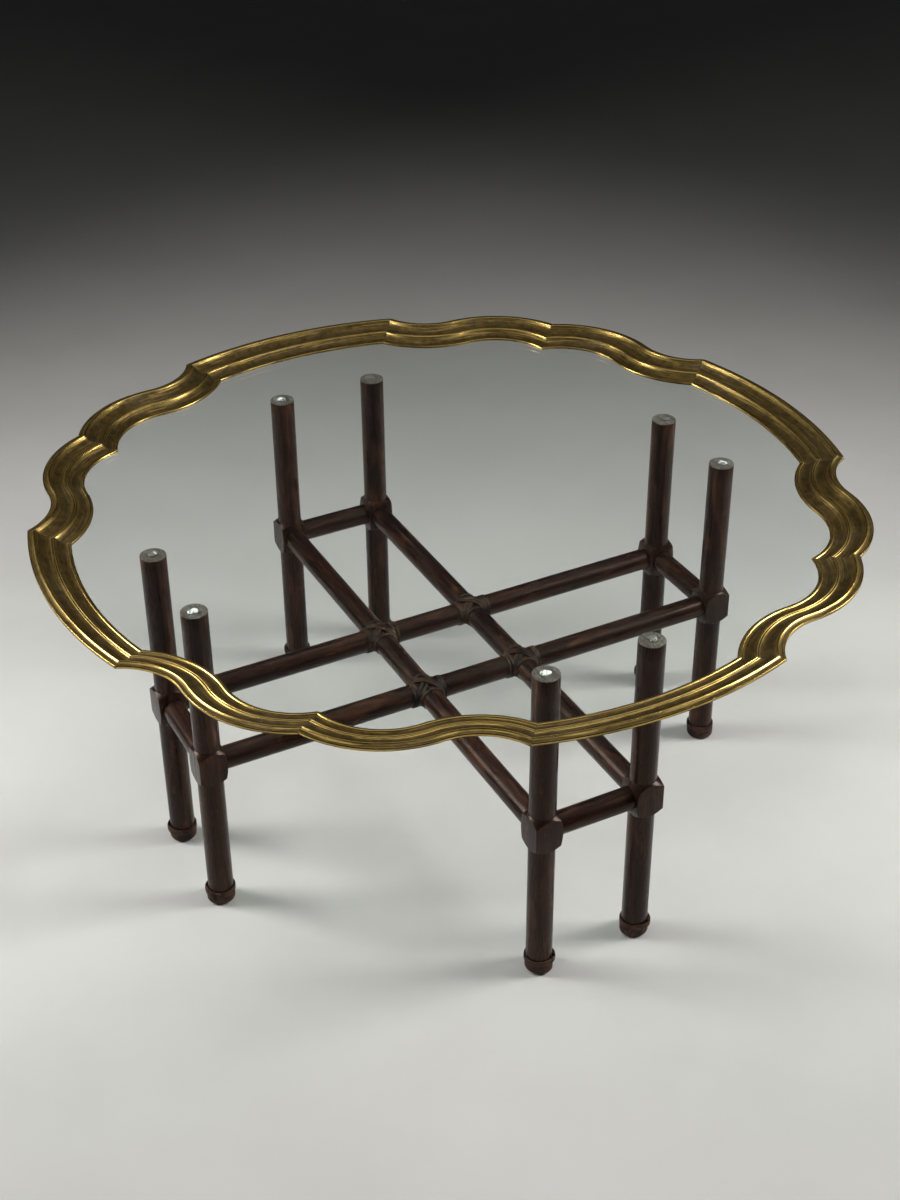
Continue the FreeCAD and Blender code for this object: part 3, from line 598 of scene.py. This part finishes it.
def bisect(shape, point, outward, clear_outer):
    """Cut every face that a plane crosses, and drop what lies outward of it if asked."""
    bmesh.ops.bisect_plane(shape, geom=shape.verts[:] + shape.edges[:] + shape.faces[:], plane_co=point,
                           plane_no=outward, clear_outer=clear_outer, dist=1e-7)


def slice_away(shape, point, outward):
    """Cut off what lies outward of a plane and close the mesh there."""
    bisect(shape, point, outward, True)
    edges = [edge for edge in shape.edges if edge.is_boundary]
    if edges:
        bmesh.ops.edgeloop_fill(shape, edges=edges)


def cut_mitre(shape, point, outward):
    """Slice a swept length at its mitre, and leave two close rings beside the cut for the joint's mark."""
    slice_away(shape, point, outward)
    for back in (0.5 * MM, 1.6 * MM):
        bisect(shape, point - outward * back, outward, False)


def finish_rim_piece(mesh, turn, mirror, mitres):
    """Mitre a swept length of rim, mark its coves, crests and joints, and its underside for painted shade,
    and set it in place.
    """
    shape = bmesh.new()
    shape.from_mesh(mesh)
    bmesh.ops.remove_doubles(shape, verts=shape.verts[:], dist=1e-7)
    for point, outward in mitres:
        cut_mitre(shape, point, outward)
    # This layer carries patina in the coves and painted shade under the rim.
    deep = shape.verts.layers.float.new("cove_patina_and_underside_shade")
    proud = shape.verts.layers.float.new("crest")
    seam = shape.verts.layers.float.new("joint")
    seam_width = 1.1 * MM
    for vertex in shape.verts:
        nearest = min((point - vertex.co).dot(outward) for point, outward in mitres)
        vertex[seam] = max(0.0, 1.0 - max(0.0, nearest) / seam_width)
    mark_section(shape, deep, proud)
    matrix = Matrix.Rotation(turn, 4, "Z")
    if mirror:
        matrix = matrix @ Matrix.Diagonal((1, -1, 1, 1))
    bmesh.ops.transform(shape, matrix=matrix, verts=shape.verts[:])
    if mirror:
        bmesh.ops.reverse_faces(shape, faces=shape.faces[:])
    shape.to_mesh(mesh)
    shape.free()
    mesh.shade_smooth()
    mesh.set_sharp_from_angle(angle=math.radians(50))


def mark_section(shape, deep, proud):
    """Give every vertex the cove and crest values of the nearest point of the section; the cove value also
    carries the painted shade under the rim.
    """
    hollows, crests = hollowness(SECTION)
    lengths = [0.0]
    for (a, b), (c, d) in zip(SECTION, SECTION[1:]):
        lengths.append(lengths[-1] + math.hypot(c - a, d - b) * MM)
    run = shape.loops.layers.uv["Moulding"]
    for vertex in shape.verts:
        if not vertex.link_loops:
            continue
        across = max(loop[run].uv.y for loop in vertex.link_loops)
        nearest = min(range(len(lengths)), key=lambda index: abs(lengths[index] - across))
        vertex[deep] = hollows[nearest]
        vertex[proud] = crests[nearest]


def arc_path(middle, radius, first, last, step, inward):
    """Points on an arc in plan at the glass's top, and the direction in from the rim's edge."""
    count = max(2, math.ceil(abs(last - first) / step))
    points, lay = [], []
    for index in range(count + 1):
        angle = first + (last - first) * index / count
        out = Vector((math.cos(angle), math.sin(angle), 0))
        points.append(middle + out * radius + Vector((0, 0, GLASS_TOP)))
        lay.append(out * inward)
    return points, lay


def mitre_at(point, angle, side):
    """A cutting plane through a point, running at an angle in plan; side picks what is cut away."""
    return point, Vector((-math.sin(angle), math.cos(angle), 0)) * side


def flipped(cut):
    """The same cut on the other side of the X axis."""
    point, outward = cut
    return Vector((point.x, -point.y, 0)), Vector((outward.x, -outward.y, 0))


def make_rim():
    """Four long arcs, and between them pairs of scrolls, each swept past its ends and mitred back."""
    section = [(inward * MM, up * MM) for inward, up in SECTION]
    spare = math.radians(5)
    for quarter, side in enumerate(SIDES):
        turn = quarter * math.pi / 2
        reach = CUSP_ANGLE + spare
        points, lay = arc_path(Vector(), RIM_RADIUS, -reach, reach, math.radians(1.0), -1)
        mesh = sweep("rim_arc", points, lay, section, BRASS, "Moulding")
        end = mitre_at(CUSP, MITRE_ANGLE, 1)
        finish_rim_piece(mesh, turn, False, [end, flipped(end)])
        new_piece("moulding_arc_" + side, mesh, "tray", "aged_brass", "rim_arc_" + side)
        for hand in (1, -1):
            node = "rim_scroll_%s_%s" % (side, SIDES[(quarter + hand) % 4])
            hollow, hollow_lay = arc_path(HOLLOW_MIDDLE, HOLLOW_RADIUS, math.pi + HOLLOW_BEARING + spare,
                                          math.pi, math.radians(2.5), 1)
            swell, swell_lay = arc_path(SWELL_MIDDLE, SWELL_RADIUS, 0, math.radians(100), math.radians(2.0),
                                        -1)
            mesh = sweep("rim_scroll", hollow + swell[1:], hollow_lay + swell_lay[1:], section, BRASS,
                         "Moulding")
            mitres = [mitre_at(CUSP, MITRE_ANGLE, -1), mitre_at(Vector(), math.pi / 4, 1)]
            finish_rim_piece(mesh, turn, hand < 0, mitres)
            new_piece("moulding_scroll_" + node[len("rim_scroll_"):], mesh, "tray", "aged_brass", node)


make_rim()


# ------------------------------------------------------------------ legs

def leg_places():
    """Name, place and turn of each leg, and the side along its own Y where its partner stands."""
    for quarter, side in enumerate(SIDES):
        for across in (1, -1):
            name = "%s_%s" % (side, SIDES[(quarter + across) % 4])
            turn = quarter * math.pi / 2
            place = Matrix.Rotation(turn, 4, "Z") @ Vector((LEG_SETOUT, HALF_PAIR * across, 0))
            yield name, place, turn, -across


def turned_bevel(shape, middle, axis, radius, slope, cuts=60):
    """Turn a block down outside a cone: through radius at middle, sloping back along -axis."""
    side = axis.orthogonal().normalized()
    for index in range(cuts):
        out = Matrix.Rotation(2 * math.pi * index / cuts, 3, axis) @ side
        normal = (axis + out * slope).normalized()
        slice_away(shape, middle + out * radius, normal)


def make_block(mate_side):
    """The square part of a leg, bevelled by turning: about the leg, and about both its rails."""
    shape = bmesh.new()
    bmesh.ops.create_cube(shape, size=1.0)
    size = Vector((2 * HALF_BLOCK, 2 * HALF_BLOCK, 2 * BLOCK_HALF_HEIGHT))
    bmesh.ops.transform(shape, matrix=Matrix.Translation((0, 0, RAIL_HEIGHT)) @ Matrix.Diagonal(size.to_4d()),
                        verts=shape.verts[:])
    up = Vector((0, 0, 1))
    middle = Vector((0, 0, RAIL_HEIGHT))
    turned_bevel(shape, middle + up * BLOCK_HALF_HEIGHT, up, LEG_RADIUS, BEVEL_SLOPE)
    turned_bevel(shape, middle - up * BLOCK_HALF_HEIGHT, -up, LEG_RADIUS, BEVEL_SLOPE)
    for out in (Vector((-1, 0, 0)), Vector((0, mate_side, 0))):
        turned_bevel(shape, middle + out * HALF_BLOCK, out, SHOULDER_RADIUS, SHOULDER_SLOPE)
    bmesh.ops.remove_doubles(shape, verts=shape.verts[:], dist=0.02 * MM)
    sharp = [edge for edge in shape.edges if edge.is_manifold and edge.calc_face_angle() > math.radians(12)]
    bmesh.ops.bevel(shape, geom=sharp, offset=BLOCK_EASE, segments=3, affect="EDGES", profile=0.6,
                    clamp_overlap=True)
    return shape


def make_shaft():
    """The turned length of a leg, well rounded at the foot and just eased at the top."""
    ease = FOOT_EASE
    rings = [(0.0, 0.0), (LEG_RADIUS - ease, 0.0), (LEG_RADIUS - 0.6 * ease, 0.22 * ease),
             (LEG_RADIUS - 0.25 * ease, 0.58 * ease), (LEG_RADIUS, 1.1 * ease)]
    count = 24
    for index in range(1, count):
        rings.append((LEG_RADIUS, ease + (LEG_TOP - 2 * ease) * index / count))
    rings += [(LEG_RADIUS, LEG_TOP - TOP_EASE), (LEG_RADIUS - 0.3 * TOP_EASE, LEG_TOP - 0.3 * TOP_EASE),
              (LEG_RADIUS - TOP_EASE, LEG_TOP), (LEG_RADIUS * 0.6, LEG_TOP), (LEG_RADIUS * 0.3, LEG_TOP),
              (0.0, LEG_TOP)]
    return lathe(rings, 72)


def lathe(rings, sides):
    """A closed turned shape from (radius, height) pairs, from the bottom middle to the top middle."""
    shape = bmesh.new()
    rows = []
    for radius, height in rings:
        if radius == 0.0:
            rows.append([shape.verts.new((0, 0, height))])
        else:
            rows.append([shape.verts.new((radius * math.cos(2 * math.pi * i / sides),
                                          radius * math.sin(2 * math.pi * i / sides), height))
                         for i in range(sides)])
    join_rows(shape, rows, sides)
    return shape


def join_rows(shape, rows, sides):
    """Faces between rings of points, from the bottom up; a ring of one point is a pole."""
    for low, high in zip(rows, rows[1:]):
        for i in range(sides):
            j = (i + 1) % sides
            if len(low) == 1:
                shape.faces.new((low[0], high[j], high[i]))
            elif len(high) == 1:
                shape.faces.new((low[i], low[j], high[0]))
            else:
                shape.faces.new((low[i], low[j], high[j], high[i]))


def make_legs():
    """Each leg is its turned length and its block, one inside the other, in one mesh."""
    for name, place, turn, mate_side in leg_places():
        mesh = bpy.data.meshes.new("turned_leg_" + name)
        whole = bmesh.new()
        for part in (make_shaft(), make_block(mate_side)):
            part.to_mesh(mesh)
            part.free()
            whole.from_mesh(mesh)
        bmesh.ops.transform(whole, matrix=Matrix.Translation(place) @ Matrix.Rotation(turn, 4, "Z"),
                            verts=whole.verts[:])
        whole.to_mesh(mesh)
        whole.free()
        mesh.materials.append(WOOD_Z)
        mesh.shade_smooth()
        mesh.set_sharp_from_angle(angle=math.radians(28))
        new_piece("turned_leg_" + name, mesh, "stand", "dark_wood", "leg_" + name)


make_legs()


# ------------------------------------------------------------------ rails and glass keep their shape

for side, wood in zip(SIDES, (WOOD_Y, WOOD_X, WOOD_Y, WOOD_X)):
    for kind in ("long_rail_", "end_rail_"):
        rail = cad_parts[kind + side]
        rail.data.materials.clear()
        rail.data.materials.append(wood)

for node, finish in (("glass_panel", GLASS), ("glass_bedding", BEDDING)):
    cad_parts[node].data.materials.clear()
    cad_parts[node].data.materials.append(finish)


# ------------------------------------------------------------------ leather strips

def strip_section(width, thickness):
    """Section of a strip with rounded edges and a slightly crowned face: across it, then outwards."""
    half, edge = width / 2, thickness * 0.42
    points = [(-half, thickness * 0.30), (-half + edge * 0.4, 0.0), (0.0, 0.0), (half - edge * 0.4, 0.0),
              (half, thickness * 0.30), (half - edge * 0.15, thickness * 0.72),
              (half - edge, thickness * 0.93)]
    crown = 7
    for index in range(1, crown):
        share = 1 - 2 * index / crown
        groove = 0.05 if index % 2 else 0.0
        points.append(((half - edge) * share, thickness * (1.02 - 0.10 * share * share - groove)))
    points += [(-half + edge, thickness * 0.93), (-half + edge * 0.15, thickness * 0.72)]
    return points


def lashing_turn(name, points, lay, width):
    section = strip_section(width, LASHING_THICKNESS)
    return sweep(name, points, lay, section, LASHING, "Strip", closed=True)


def wound_turn(name, place, along, distance, width, layer, slant, start):
    """One turn of strip round a rail arm: along is the arm, distance how far out its middle lies."""
    up = Vector((0, 0, 1))
    side = up.cross(along)
    points, lay = [], []
    count = 48
    for index in range(count):
        angle = 2 * math.pi * index / count
        out = side * math.cos(angle) + up * math.sin(angle)
        swing = slant * math.sin(angle + start)
        points.append(place + out * (RAIL_RADIUS + layer) + along * (distance + swing))
        twist = slant * math.cos(angle + start) / RAIL_RADIUS
        tangent = up * math.cos(angle) - side * math.sin(angle)
        lay.append((along - tangent * twist).normalized())
    return lashing_turn(name, points, lay, width)


def diagonal_turn(name, place, bearing, aside, width, layer, lean):
    """One turn of strip slantwise over and under a crossing, down through two of its corners."""
    run = Vector((math.cos(bearing), math.sin(bearing), 0))
    across = Vector((-run.y, run.x, 0))
    up = Vector((0, 0, 1))
    corner_gap, face_gap = 1.9 * MM, 0.7 * MM
    reach = RAIL_RADIUS * math.sqrt(2) + corner_gap + layer * 0.5
    rise = RAIL_RADIUS + face_gap + layer
    points, lay = [], []
    count = 64
    for index in range(count):
        angle = 2 * math.pi * index / count
        squeeze = abs(math.sin(angle)) ** 0.6
        drift = aside * (0.30 + 0.70 * squeeze) + lean * math.cos(angle)
        points.append(place + run * reach * math.cos(angle) + up * rise * math.sin(angle) - across * drift)
        lay.append(-across)
    return lashing_turn(name, points, lay, width)


def make_lashings():
    """Strip wound round each arm of a crossing, then twice slantwise over it each way."""
    for quarter in range(4):
        chance = random.Random(410 + quarter)
        name = "lashing_%s_%s" % (SIDES[quarter], SIDES[(quarter + 1) % 4])
        corner = Matrix.Rotation(quarter * math.pi / 2, 4, "Z") @ Vector((HALF_PAIR, HALF_PAIR, 0))
        place = corner + Vector((0, 0, RAIL_HEIGHT))
        turns = []
        for arm in range(4):
            along = Vector((round(math.cos(arm * math.pi / 2)), round(math.sin(arm * math.pi / 2)), 0))
            east_west = arm % 2 == 0
            seats = (16.9, 20.9) if east_west else (17.0,)    # millimetres out from the crossing's middle
            for seat in seats:
                turns.append(wound_turn(name, place, along, (seat + chance.uniform(-0.3, 0.3)) * MM,
                                        chance.uniform(3.6, 4.2) * MM if east_west else 4.6 * MM,
                                        0.1 * MM, chance.uniform(0.4, 1.1) * MM, chance.uniform(0, 6)))
        for over, bearing in enumerate((math.pi / 4, 3 * math.pi / 4)):
            for beside in (-1, 1):
                turns.append(diagonal_turn(name, place, bearing, beside * chance.uniform(2.5, 2.9) * MM,
                                           chance.uniform(4.3, 4.9) * MM, (0.5 + 1.3 * over) * MM,
                                           chance.uniform(-0.8, 0.8) * MM))
        new_piece("wound_" + name, joined(name, turns, LASHING), "stand", "lashing_leather", name)


make_lashings()


def wrap_section(height, thickness, tuck):
    """Section of a foot strip, up it and then outwards; tuck is how far its bottom is drawn in."""
    inset = 0.2 * MM
    edge = thickness * 0.5
    rounded = FOOT_EASE * 1.25 if tuck else edge
    section = [(0.0, -inset - tuck), (0.0, thickness * 0.5 - tuck)]
    if tuck:
        for share in (0.15, 0.35, 0.6, 0.85, 1.0):
            section.append((rounded * share, thickness - tuck * (1 - math.sin(share * math.pi / 2))))
    else:
        section += [(inset, thickness * 0.85), (edge, thickness)]
    middle = 5
    for index in range(1, middle):
        rise = rounded * (1 - index / middle) + (height - edge) * index / middle
        section.append((rise, thickness * (1.0 + 0.10 * math.sin(math.pi * index / middle))))
    section += [(height - edge, thickness), (height - edge * 0.3, thickness * 0.8),
                (height, thickness * 0.35), (height, -inset), (height * 0.5, -inset)]
    if tuck:
        section.append((FOOT_EASE, -inset))
    return section


def wrap_strip(place, low, high, thickness, begin, turns, outset, tuck=0.0, drop=0.0):
    """A strip round the foot of a leg whose end laps over its beginning, dropping a little as it does."""
    lap_from, lap_rise, drop_from, drop_run = 0.85, 0.15, 0.9, 0.25    # in turns from the beginning
    points, lay = [], []
    count = int(72 * turns)
    for index in range(count + 1):
        share = index / count
        angle = begin + 2 * math.pi * turns * share
        climb = min(1.0, max(0.0, (share * turns - lap_from) / lap_rise))
        climb = climb * climb * (3 - 2 * climb)
        out = Vector((math.cos(angle), math.sin(angle), 0))
        sag = -drop * max(0.0, share * turns - drop_from) / drop_run
        wave = 0.0 if tuck else 0.35 * MM * math.sin(2 * angle + begin)
        points.append(place + out * (LEG_RADIUS + outset + thickness * 1.05 * climb)
                      + Vector((0, 0, low + sag + wave)))
        lay.append(Vector((0, 0, 1)))
    return sweep("wrap", points, lay, wrap_section(high - low, thickness, tuck), WRAP, "Strip")


def make_foot_wraps():
    """Leather round each foot: a lower strip tucked in at the floor and a rolled band above it."""
    for index, (name, place, *_) in enumerate(leg_places()):
        chance = random.Random(77 + index)
        lower = wrap_strip(place, WRAP_BASE, LOWER_STRIP_TOP, LOWER_STRIP_THICKNESS,
                           begin=chance.uniform(*ANY_ANGLE), turns=1.12, outset=0.05 * MM,
                           tuck=FOOT_EASE - WRAP_BASE - 0.4 * MM)
        band = wrap_strip(place, BAND_BASE, WRAP_TOP - 0.4 * MM, BAND_THICKNESS,
                          begin=chance.uniform(*ANY_ANGLE), turns=1.16, outset=0.75 * MM, drop=1.6 * MM)
        mesh = joined("foot_wrap", [lower, band], WRAP)
        new_piece("leather_foot_" + name, mesh, "stand", "wrap_leather", "foot_wrap_" + name)


make_foot_wraps()


# ------------------------------------------------------------------ pads

# How far each pad has gone white, which differs from leg to leg.
PAD_CLOUDING = {"south_west": 0.36, "west_south": 0.34, "north_west": 0.28, "east_south": 0.25,
                "south_east": 0.20, "west_north": 0.18, "east_north": 0.12, "north_east": 0.05}


def make_pads():
    """A pressed dab of clear cushion on each leg, no two the same outline."""
    # How far out, as a share of the radius, and how far up, as a share of the thickness.
    profile = [(0.0, 0.02), (0.80, 0.02), (0.95, 0.20), (1.0, 0.45), (0.94, 0.78), (0.80, 0.97), (0.5, 0.99),
               (0.0, 0.99)]
    sides = 40
    whole = bmesh.new()
    clouding = whole.verts.layers.float.new("clouding")
    for index, (name, place, *_) in enumerate(leg_places()):
        chance = random.Random(9 + index)
        phases = [chance.uniform(*ANY_ANGLE) for _ in range(3)]
        sizes = [chance.uniform(0.10, 0.24), chance.uniform(0.05, 0.14), chance.uniform(0.03, 0.08)]
        aside = Vector((chance.uniform(-2, 2), chance.uniform(-2, 2), 0)) * MM
        rows = []
        for radius, rise in profile:
            height = LEG_TOP + PAD_THICKNESS * rise
            if radius == 0.0:
                rows.append([whole.verts.new(place + aside + Vector((0, 0, height)))])
                continue
            ring = []
            for step in range(sides):
                angle = 2 * math.pi * step / sides
                bulge = 1 + sum(size * math.sin((lobe + 2) * angle + phase)
                                for lobe, (size, phase) in enumerate(zip(sizes, phases)))
                out = PAD_RADIUS * radius * bulge
                offset = Vector((out * math.cos(angle), out * math.sin(angle), height))
                ring.append(whole.verts.new(place + aside + offset))
            rows.append(ring)
        join_rows(whole, rows, sides)
        for vertex in (vertex for row in rows for vertex in row):
            vertex[clouding] = PAD_CLOUDING[name]
    mesh = bpy.data.meshes.new("pressed_pads")
    whole.to_mesh(mesh)
    whole.free()
    mesh.materials.append(PAD)
    mesh.shade_smooth()
    new_piece("pressed_pads", mesh, "stand", "clear_pad", "glass_pads")


make_pads()


# ------------------------------------------------------------------ floor, light and camera

def pale_floor():
    pale, smudged = (0.71, 0.70, 0.665, 1), (0.67, 0.66, 0.625, 1)
    material, s, output = new_material("studio_floor")
    smudges = s.noise(s.place(), 3.0, 5.0, 0.6)
    colour = s.mix(s.stretch(smudges, 0.35, 0.7), pale, smudged)
    surface(s, output, Base_Color=colour, Roughness=0.62, Specular_IOR_Level=0.3)
    return material


def make_stage():
    mesh = bpy.data.meshes.new("studio_floor")
    half = 9.0
    corners = [(-half, -half, 0), (half, -half, 0), (half, half, 0), (-half, half, 0)]
    mesh.from_pydata(corners, [], [(0, 1, 2, 3)])
    mesh.materials.append(pale_floor())
    floor = bpy.data.objects.new("studio_floor", mesh)
    bpy.context.scene.collection.objects.link(floor)


def soft_light(name, place, target, width, height, power, spread):
    """A panel aimed at a point on the floor: metres, watts, and its spread in degrees."""
    light = bpy.data.lights.new(name, "AREA")
    light.shape = "RECTANGLE"
    light.size = width
    light.size_y = height
    light.energy = power
    light.spread = math.radians(spread)
    lamp = bpy.data.objects.new(name, light)
    bpy.context.scene.collection.objects.link(lamp)
    lamp.location = place
    lamp.rotation_euler = (target - place).to_track_quat("-Z", "Y").to_euler()


def make_light():
    """A soft panel on each side, a large dim one overhead, and almost nothing from the room."""
    world = bpy.data.worlds.new("studio")
    bpy.context.scene.world = world
    world.use_nodes = True
    room = world.node_tree.nodes["Background"].inputs
    room["Color"].default_value = (0.80, 0.82, 0.85, 1)
    room["Strength"].default_value = 0.015
    ahead = Vector((math.sin(HEADING), math.cos(HEADING), 0))
    right = Vector((ahead.y, -ahead.x, 0))
    up = Vector((0, 0, 1))
    for name, hand in (("left", -1), ("right", 1)):
        soft_light(name, right * 1.9 * hand + ahead * 0.05 + up * 1.45, right * 0.1 * hand - ahead * 0.30,
                   width=0.8, height=1.2, power=16, spread=114)
    soft_light("overhead", up * 2.2 + ahead * 0.45, ahead * -0.35,
               width=3.0, height=1.6, power=4.5, spread=110)


def make_camera():
    view = Vector((math.sin(HEADING) * math.cos(DOWN), math.cos(HEADING) * math.cos(DOWN), -math.sin(DOWN)))
    level = Vector((math.cos(HEADING), -math.sin(HEADING), 0))
    up = level.cross(view)
    right = level * math.cos(ROLL) + up * math.sin(ROLL)
    top = up * math.cos(ROLL) - level * math.sin(ROLL)
    camera = bpy.data.cameras.new("camera")
    camera.lens = FOCAL_LENGTH
    camera.sensor_width = SENSOR_WIDTH
    eye = bpy.data.objects.new("camera", camera)
    bpy.context.scene.collection.objects.link(eye)
    turned = Matrix((right, top, -view)).transposed().to_4x4()
    eye.matrix_world = Matrix.Translation(EYE) @ turned
    bpy.context.scene.camera = eye


make_stage()
make_light()
make_camera()
bpy.context.scene.view_settings.view_transform = "Standard"
